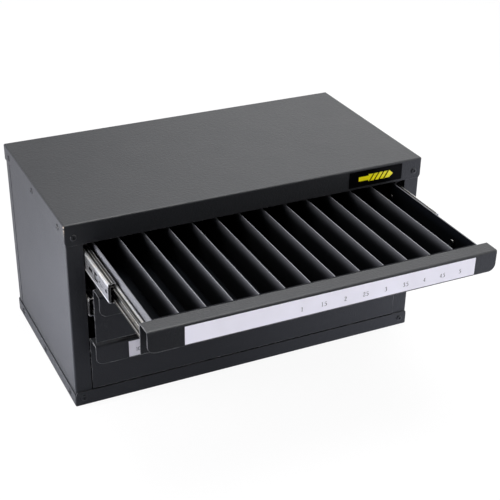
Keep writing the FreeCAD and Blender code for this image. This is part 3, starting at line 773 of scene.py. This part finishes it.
for name in drawerNames:
    low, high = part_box(name + "_slide_screws")
    headRadius = drawerScrew["headRadius"]
    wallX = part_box(name + "_drawer_tray")[1].x - cabinetSlide["sheet"]
    places = [((side * wallX, y, (low.z + high.z) / 2), (-side, 0, 0))
              for side in (-1, 1) for y in (low.y + headRadius, high.y - headRadius)]
    screws = setOnPlaces(name + "SlideScrews", drawerScrewPart(), places, finishes["screw_steel"], 0.0,
                         drawerScrew["seed"])
    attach(screws, name + "_drawer")
    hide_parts(name + "_slide_screws")
print("rivets and screws of the slides set")


# Dividers: one row for each drawer

dividerRow = {
    "count": {"top": 12, "middle": 7, "bottom": 7},
    "sheet": 0.8 * mm, "edgeRound": 0.18 * mm, "edgeSteps": 3,
}


def makeDividerTree():
    tree, given, wanted = startTree("Divider Row", "GeometryNodeTree", [
        ("Geometry", "Geometry", None),
        ("Count", "Int", 12),
        ("Pitch", "Float", 24 * mm),
        ("Sheet", "Float", 0.8 * mm),
        ("Height", "Float", 28 * mm),
        ("Depth", "Float", 170 * mm),
        ("Edge Round", "Float", 0.2 * mm),
        ("First", "Vector", None),
        ("Finish", "Material", None),
    ], [("Geometry", "Geometry")])
    section = addNode(tree, "GeometryNodeCurvePrimitiveQuadrilateral", {
        0: given["Sheet"], 1: given["Height"]})
    rounded = addNode(tree, "GeometryNodeFilletCurve", {
        "Curve": section.outputs[0], "Radius": given["Edge Round"]}, mode="POLY")
    rounded.inputs["Count"].default_value = dividerRow["edgeSteps"]
    rear = vectorOf(tree, 0.0, given["Depth"], 0.0)
    run = addNode(tree, "GeometryNodeCurvePrimitiveLine", {"End": rear})
    plate = addNode(tree, "GeometryNodeCurveToMesh", {
        "Curve": run.outputs[0], "Profile Curve": rounded.outputs[0], "Fill Caps": True})
    step = vectorOf(tree, given["Pitch"], 0.0, 0.0)
    row = addNode(tree, "GeometryNodeMeshLine", {
        "Count": given["Count"], "Start Location": given["First"], "Offset": step})
    placed = addNode(tree, "GeometryNodeInstanceOnPoints", {
        "Points": row.outputs[0], "Instance": plate.outputs[0]})
    real = addNode(tree, "GeometryNodeRealizeInstances", {"Geometry": placed.outputs[0]})
    tree.links.new(dressedGeometry(tree, real, given["Finish"]), wanted["Geometry"])
    return tree


dividerTree = makeDividerTree()


def makeDividers(name):
    low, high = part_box(name + "_dividers")
    sheet = dividerRow["sheet"]
    count = dividerRow["count"][name]
    carrier = addPiece(name + "Dividers", bpy.data.meshes.new(name + "Dividers"))
    modifier = carrier.modifiers.new("row", "NODES")
    modifier.node_group = dividerTree
    setInputs(modifier, {
        "Count": count, "Pitch": (high.x - low.x - sheet) / (count - 1), "Sheet": sheet,
        "Height": high.z - low.z, "Depth": high.y - low.y, "Edge Round": dividerRow["edgeRound"],
        "First": (low.x + sheet / 2, low.y, (low.z + high.z) / 2), "Finish": finishes["divider_paint"],
    })
    piece = plainMesh(carrier)
    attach(piece, name + "_drawer")
    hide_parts(name + "_dividers")


for name in drawerNames:
    makeDividers(name)
print("dividers made")


# Labels and their numbers

def roundedPlate(name, low, high, radius, soft, steps=5):
    # a thin plate across x and z with round corners, its front edge softened, facing -y
    shape = bmesh.new()
    outline = []
    leftX, rightX = low.x + radius, high.x - radius
    lowZ, highZ = low.z + radius, high.z - radius
    for i, corner in enumerate(((rightX, highZ), (leftX, highZ), (leftX, lowZ), (rightX, lowZ))):
        turn = i * math.pi / 2
        outline += arcPoints(corner, radius, turn, turn + math.pi / 2, steps)
    middleX, middleZ = (low.x + high.x) / 2, (low.z + high.z) / 2
    rings = []
    for y, inset in ((high.y, 0), (low.y + soft, 0), (low.y, soft)):
        ring = []
        for x, z in outline:
            innerX = x - math.copysign(inset, x - middleX)
            innerZ = z - math.copysign(inset, z - middleZ)
            ring.append(shape.verts.new((innerX, y, innerZ)))
        rings.append(ring)
    for near, far in zip(rings, rings[1:]):
        for i in range(len(outline)):
            j = (i + 1) % len(outline)
            shape.faces.new((near[i], near[j], far[j], far[i]))
    shape.faces.new(rings[0])
    shape.faces.new(rings[-1])
    bmesh.ops.recalc_face_normals(shape, faces=shape.faces)
    return pieceOf(name, shape)


# Pen strokes of each figure, in units of its height: points along, points up, half the pen's width there
figureStrokes = {
    "0": [[(0.28, 1, .05), (0.1, .86, .07), (0.05, .5, .08), (0.1, .14, .07), (0.28, 0, .05),
           (0.46, .14, .07), (0.51, .5, .08), (0.46, .86, .07), (0.28, 1, .05)]],
    "1": [[(0.12, .82, .03), (0.3, .97, .05), (0.3, .04, .06)], [(0.12, .02, .03), (0.48, .02, .03)]],
    "2": [[(0.08, .76, .06), (0.14, .93, .05), (0.28, 1, .05), (0.45, .9, .07), (0.44, .66, .07),
           (0.26, .36, .05), (0.05, .05, .04)], [(0.05, .05, .05), (0.5, .05, .05), (0.54, .2, .02)]],
    "3": [[(0.08, .82, .05), (0.26, 1, .05), (0.42, .88, .06), (0.4, .66, .06), (0.22, .53, .04),
           (0.42, .42, .06), (0.48, .24, .07), (0.36, .04, .06), (0.18, 0, .04), (0.05, .08, .06)]],
    "4": [[(0.4, .98, .04), (0.04, .3, .03)], [(0.04, .28, .04), (0.54, .28, .04)],
          [(0.4, .98, .06), (0.4, .0, .06)]],
    "5": [[(0.5, .96, .05), (0.16, .96, .04), (0.1, .58, .03), (0.3, .6, .05), (0.47, .44, .07),
           (0.46, .18, .07), (0.3, .02, .05), (0.14, 0, .04), (0.05, .08, .06)]],
    "6": [[(0.48, .98, .03), (0.22, .82, .05), (0.08, .5, .07), (0.08, .2, .07), (0.26, .0, .05),
           (0.44, .12, .07), (0.48, .34, .07), (0.34, .56, .05), (0.12, .44, .04)]],
    "7": [[(0.05, .8, .03), (0.08, .95, .04), (0.52, .95, .04)],
          [(0.52, .95, .04), (0.34, .5, .05), (0.24, 0, .06)]],
    "8": [[(0.28, 1, .05), (0.1, .86, .06), (0.12, .66, .06), (0.42, .4, .06), (0.48, .2, .06),
           (0.28, 0, .05), (0.08, .18, .06), (0.14, .4, .05), (0.42, .66, .05), (0.46, .86, .06),
           (0.28, 1, .05)]],
    "9": [[(0.44, .56, .04), (0.22, .44, .05), (0.08, .64, .07), (0.12, .88, .07), (0.3, 1, .05),
           (0.47, .84, .07), (0.48, .5, .07), (0.34, .18, .05), (0.1, .02, .03)]],
    ".": [[(0.1, .02, .06), (0.1, .1, .06)]],
}
figureWidth = {".": 0.24}
figureAdvance = 0.6


def makeInkTree():
    tree, given, wanted = startTree("Ink Strokes", "GeometryNodeTree", [
        ("Geometry", "Geometry", None),
        ("Smooth Points", "Int", 6),
        ("Finish", "Material", None),
    ], [("Geometry", "Geometry")])
    line = addNode(tree, "GeometryNodeMeshToCurve", {"Mesh": given["Geometry"]})
    smooth = addNode(tree, "GeometryNodeCurveSplineType", {"Curve": line.outputs[0]},
                     spline_type="CATMULL_ROM")
    fine = addNode(tree, "GeometryNodeSetSplineResolution", {
        0: smooth.outputs[0], "Resolution": given["Smooth Points"]})
    upright = addNode(tree, "GeometryNodeSetCurveNormal", {"Curve": fine.outputs[0]}, mode="Z_UP")
    pen = namedAttribute(tree, "pen", "FLOAT")
    nib = addNode(tree, "GeometryNodeCurvePrimitiveLine", {"Start": (-1, 0, 0), "End": (1, 0, 0)})
    ribbon = addNode(tree, "GeometryNodeCurveToMesh", {
        "Curve": upright.outputs[0], "Profile Curve": nib.outputs[0], "Scale": pen})
    tree.links.new(dressedGeometry(tree, ribbon, given["Finish"]), wanted["Geometry"])
    return tree


inkTree = makeInkTree()
# The places are in mm from the label's left end; the numbers start at first and go up by the step
drawerLabel = {
    "cornerRound": 0.15 * mm, "soft": 0.05 * mm, "figureHeight": 3.9 * mm, "bold": 1.15,
    "smoothPoints": 6, "film": 0.02 * mm, "rise": 0.294,
    "step": 0.5, "first": {"top": 1, "middle": 5.5, "bottom": 10},
    "places": {
        "top": (105.4, 126.2, 146.9, 166.8, 186.9, 206.8, 225.9, 244.7, 263.3),
        "middle": (9.0, 40.5, 72.0, 103.5, 135.0, 166.5, 198.0, 229.5, 261.0),
        "bottom": (9.0, 51.0, 93.0, 135.0, 177.0, 219.0, 261.0),
    },
}


def numberText(value):
    return str(int(value)) if value == int(value) else str(value)


def textWidth(text):
    return sum(figureWidth.get(sign, figureAdvance) for sign in text)


def numberStrokes(texts, height):
    # points, edges and pen widths of several texts; each text is (words, centre x, foot y)
    points, edges, pens = [], [], []
    for text, centreX, footY in texts:
        startX = centreX - textWidth(text) * height / 2
        for sign in text:
            for stroke in figureStrokes[sign]:
                first = len(points)
                points += [(startX + x * height, footY + y * height, 0) for x, y, _ in stroke]
                pens += [pen * drawerLabel["bold"] * height for _, _, pen in stroke]
                edges += [(i, i + 1) for i in range(first, len(points) - 1)]
            startX += figureWidth.get(sign, figureAdvance) * height
    return points, edges, pens


def makeNumbers(name, low, high):
    look = drawerLabel
    height = look["figureHeight"]
    footY = look["rise"] * (high.z - low.z)
    texts = [(numberText(look["first"][name] + i * look["step"]), place * mm, footY)
             for i, place in enumerate(look["places"][name])]
    points, edges, pens = numberStrokes(texts, height)
    mesh = bpy.data.meshes.new(name + "Numbers")
    mesh.from_pydata(points, edges, [])
    mesh.attributes.new("pen", "FLOAT", "POINT").data.foreach_set("value", pens)
    carrier = addPiece(name + "Numbers", mesh)
    modifier = carrier.modifiers.new("ink", "NODES")
    modifier.node_group = inkTree
    setInputs(modifier, {"Smooth Points": look["smoothPoints"], "Finish": numberInk})
    piece = plainMesh(carrier)
    corner = Matrix.Translation((low.x, low.y - look["film"], low.z))
    stand = corner @ Matrix.Rotation(math.pi / 2, 4, "X")
    piece.data.transform(stand)
    piece.data.update()
    return piece


for name in drawerNames:
    low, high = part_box(name + "_label")
    label = roundedPlate(name + "Label", low, high, drawerLabel["cornerRound"], drawerLabel["soft"])
    label.data.materials.append(shadeTonedLabelPapers[name])
    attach(label, name + "_drawer")
    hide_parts(name + "_label")
    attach(makeNumbers(name, low, high), name + "_drawer")
print("labels and numbers made")


# The small plate on the front, with a plain drill bit where a name would be

frontPlate = {"cornerRound": 0.15 * mm, "soft": 0.08 * mm}
plateLow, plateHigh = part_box("front_plate")
plate = roundedPlate("frontPlate", plateLow, plateHigh, frontPlate["cornerRound"], frontPlate["soft"])
plate.data.materials.append(finishes["plate_black"])
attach(plate, "cabinet")
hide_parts("front_plate")

# The shank and the tip are shares of the length, and the shank's height is one of the height
drillSign = {
    "length": 39 * mm, "height": 7.4 * mm, "shank": 0.28, "shankHeight": 0.62, "tip": 0.11, "flutes": 4,
    "gap": 1.5 * mm, "slant": 0.62, "film": 0.03 * mm,
}


def makeDrillSign():
    # a straight shank, then a body cut by slanting flutes, then the point
    s = drillSign
    shape = bmesh.new()
    half = s["height"] / 2
    frontY = plateLow.y - s["film"]
    middleZ = (plateLow.z + plateHigh.z) / 2
    left = (plateLow.x + plateHigh.x) / 2 - s["length"] / 2

    def panel(corners):
        shape.faces.new([shape.verts.new((x, frontY, middleZ + z)) for x, z in corners])

    bodyStart = left + s["shank"] * s["length"]
    bodyEnd = left + (1 - s["tip"]) * s["length"]
    shankHalf = half * s["shankHeight"]
    panel([(left, -shankHalf), (bodyStart, -shankHalf), (bodyStart, shankHalf), (left, shankHalf)])
    lean = s["slant"] * s["height"] / 2
    firstCut = bodyStart + s["gap"] + lean
    lastCut = bodyEnd - s["gap"] - lean
    # the left and the right side of each panel in turn
    sides = [[(bodyStart, half), (bodyStart, -half)]]
    for i in range(s["flutes"]):
        cut = firstCut + (lastCut - firstCut) * i / (s["flutes"] - 1)
        before, after = cut - s["gap"] / 2, cut + s["gap"] / 2
        sides += [[(before - lean, -half), (before + lean, half)]]
        sides += [[(after + lean, half), (after - lean, -half)]]
    sides += [[(bodyEnd, -half), (left + s["length"], 0), (bodyEnd, half)]]
    for start, end in zip(sides[::2], sides[1::2]):
        panel(start + end)
    shape.normal_update()
    for face in shape.faces:
        if face.normal.y > 0:
            face.normal_flip()
    sign = pieceOf("drillSign", shape)
    sign.data.materials.append(plateYellow)
    return sign


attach(makeDrillSign(), "cabinet")
print("front plate made")


# Camera, as the photograph was taken; angles in degrees, frame, focal length and centre in pixels

view = {
    "place": (-0.42046, -0.94726, 0.64766), "azimuth": 25.9946, "elevation": -30.2072, "roll": 1.0416,
    "frame": 500, "focalPixels": 1124.45, "centre": (246.306, 280.612), "sensor": 36.0,
    "clip": (0.01, 50),
}


def makeCamera():
    azimuth, elevation, roll = (math.radians(view[key]) for key in ("azimuth", "elevation", "roll"))
    ahead = Vector((math.sin(azimuth) * math.cos(elevation),
                    math.cos(azimuth) * math.cos(elevation), math.sin(elevation)))
    right = ahead.cross(Vector((0, 0, 1))).normalized()
    up = right.cross(ahead)
    across = right * math.cos(roll) + up * math.sin(roll)
    above = up * math.cos(roll) - right * math.sin(roll)
    camera = addPiece("photoCamera", bpy.data.cameras.new("photoCamera"))
    turn = Matrix((across, above, -ahead)).transposed().to_4x4()
    camera.matrix_world = Matrix.Translation(view["place"]) @ turn
    camera.data.sensor_width = view["sensor"]
    camera.data.lens = view["focalPixels"] / view["frame"] * view["sensor"]
    camera.data.shift_x = (view["frame"] / 2 - view["centre"][0]) / view["frame"]
    camera.data.shift_y = (view["centre"][1] - view["frame"] / 2) / view["frame"]
    camera.data.clip_start, camera.data.clip_end = view["clip"]
    bpy.context.scene.camera = camera


makeCamera()


# Floor, lamps and surroundings

# The floor's glow in reflections: where each part begins, where it is full, its strength at each
floorMirrored = {
    "near": (-0.42, -0.25, 0.0, 0.42), "right": (-0.03, 0.33, 0.0, 1.2), "left": (-0.5, -0.25, 0.0, 1.3),
    "leftBeside": (-0.175, -0.30), "leftBehind": (0.32, -0.02), "tint": (0.925, 0.955, 1.125, 1),
}
studio = {
    "floorSize": 12.0, "floorColour": (0.80, 0.80, 0.80, 1), "floorGlow": 0.93, "floorShade": 0.06,
    "skyColour": (1.0, 1.0, 1.0, 1), "sky": 0.07, "skyRight": (0.3, 1.0, 0.0, 1.65), "skySeen": 0.98,
}
lamps = {
    "overheadLamp": {"place": (0.20, 0.08, 1.5), "aim": (0, -0.05, 0), "size": (1.3, 0.9), "watts": 35.5},
    "leftLamp": {"place": (-1.6, 0.20, 0.46), "aim": (0, -0.05, 0.1), "size": (1.6, 0.85), "watts": 32.5,
                 "colour": (0.98, 0.97, 1.04)},
    "sideLamp": {"place": (-0.37, -0.075, 0.15), "aim": (-0.185, -0.09, 0.09), "size": (0.05, 0.12),
                 "watts": 0.75},
    "rightLamp": {"place": (1.1, -1.0, 0.45), "aim": (0, -0.15, 0.1), "size": (0.7, 0.6), "watts": 4.4},
    "rearLeftLamp": {"place": (-0.8, 1.6, 1.0), "aim": (0, 0, 0.15), "size": (1.3, 1.1), "watts": 3.5},
    "rearLamp": {"place": (1.0, 1.5, 1.1), "aim": (0, 0, 0.15), "size": (1.3, 1.1), "watts": 5.2},
    "frontLamp": {"place": (0.6, -1.9, 1.3), "aim": (0, -0.1, 0.1), "size": (1.2, 0.8), "watts": 2.3},
}


def mirroredGlow(tree):
    # how bright the floor is in reflections: the front left lies in the drawers' shade
    axes = axesOf(tree, objectPlace(tree))
    x, y = axes["X"], axes["Y"]
    near = spread(tree, y, *floorMirrored["near"])
    right = spread(tree, x, *floorMirrored["right"])
    beside = spread(tree, x, *floorMirrored["leftBeside"])
    behind = spread(tree, y, *floorMirrored["leftBehind"])
    left = times(tree, times(tree, beside, behind), spread(tree, y, *floorMirrored["left"]))
    return calc(tree, "ADD", calc(tree, "ADD", near, right), left)


def makeFloor():
    half = studio["floorSize"] / 2
    mesh = bpy.data.meshes.new("floor")
    corners = [(-half, -half, 0), (half, -half, 0), (half, half, 0), (-half, half, 0)]
    mesh.from_pydata(corners, [], [(0, 1, 2, 3)])
    floor = addPiece("floor", mesh)
    material = bpy.data.materials.new("floor_white")
    tree = emptyTree(material)
    path = addNode(tree, "ShaderNodeLightPath").outputs
    seen = calc(tree, "MAXIMUM", path["Is Camera Ray"], path["Is Transmission Ray"])
    plain = addNode(tree, "ShaderNodeBsdfDiffuse", {"Color": studio["floorColour"]})
    faint = [studio["floorShade"]] * 3 + [1]
    shaded = addNode(tree, "ShaderNodeBsdfDiffuse", {"Color": faint})
    mirrored = times(tree, path["Is Glossy Ray"], mirroredGlow(tree))
    strength = calc(tree, "ADD", times(tree, seen, studio["floorGlow"]), mirrored)
    tint = mixColour(tree, path["Is Glossy Ray"], (1, 1, 1, 1), floorMirrored["tint"])
    glow = addNode(tree, "ShaderNodeEmission", {"Color": tint, "Strength": strength})
    shown = addNode(tree, "ShaderNodeAddShader", {0: shaded.outputs[0], 1: glow.outputs[0]})
    mix = addNode(tree, "ShaderNodeMixShader", {0: calc(tree, "MAXIMUM", seen, path["Is Glossy Ray"])})
    tree.links.new(plain.outputs[0], mix.inputs[1])
    tree.links.new(shown.outputs[0], mix.inputs[2])
    addNode(tree, "ShaderNodeOutputMaterial", {"Surface": mix.outputs[0]})
    mesh.materials.append(material)


def makeSky():
    # an even sky with a broad light to the right, seen as plain white
    world = bpy.data.worlds.new("studioSky")
    bpy.context.scene.world = world
    tree = emptyTree(world)
    towards = addNode(tree, "ShaderNodeTexCoord").outputs["Generated"]
    right = spread(tree, axesOf(tree, towards)["X"], *studio["skyRight"])
    strength = calc(tree, "ADD", right, studio["sky"])
    path = addNode(tree, "ShaderNodeLightPath").outputs
    seen = calc(tree, "MAXIMUM", path["Is Camera Ray"], path["Is Transmission Ray"])
    shown = addNode(tree, "ShaderNodeMix", {0: seen, 2: strength, 3: studio["skySeen"]}).outputs[0]
    sky = addNode(tree, "ShaderNodeBackground", {"Color": studio["skyColour"], "Strength": shown})
    addNode(tree, "ShaderNodeOutputWorld", {"Surface": sky.outputs[0]})


def makeLamp(name, settings):
    data = bpy.data.lights.new(name, "AREA")
    data.shape = "RECTANGLE"
    data.size, data.size_y = settings["size"]
    data.energy = settings["watts"]
    data.color = settings.get("colour", (1, 1, 1))
    lamp = addPiece(name, data)
    lamp.visible_camera = False
    lamp.location = settings["place"]
    ahead = Vector(settings["aim"]) - Vector(settings["place"])
    lamp.rotation_euler = ahead.to_track_quat("-Z", "Y").to_euler()


makeFloor()
makeSky()
for name, settings in lamps.items():
    makeLamp(name, settings)
bpy.context.scene.view_settings.view_transform = "Standard"
print("studio set")
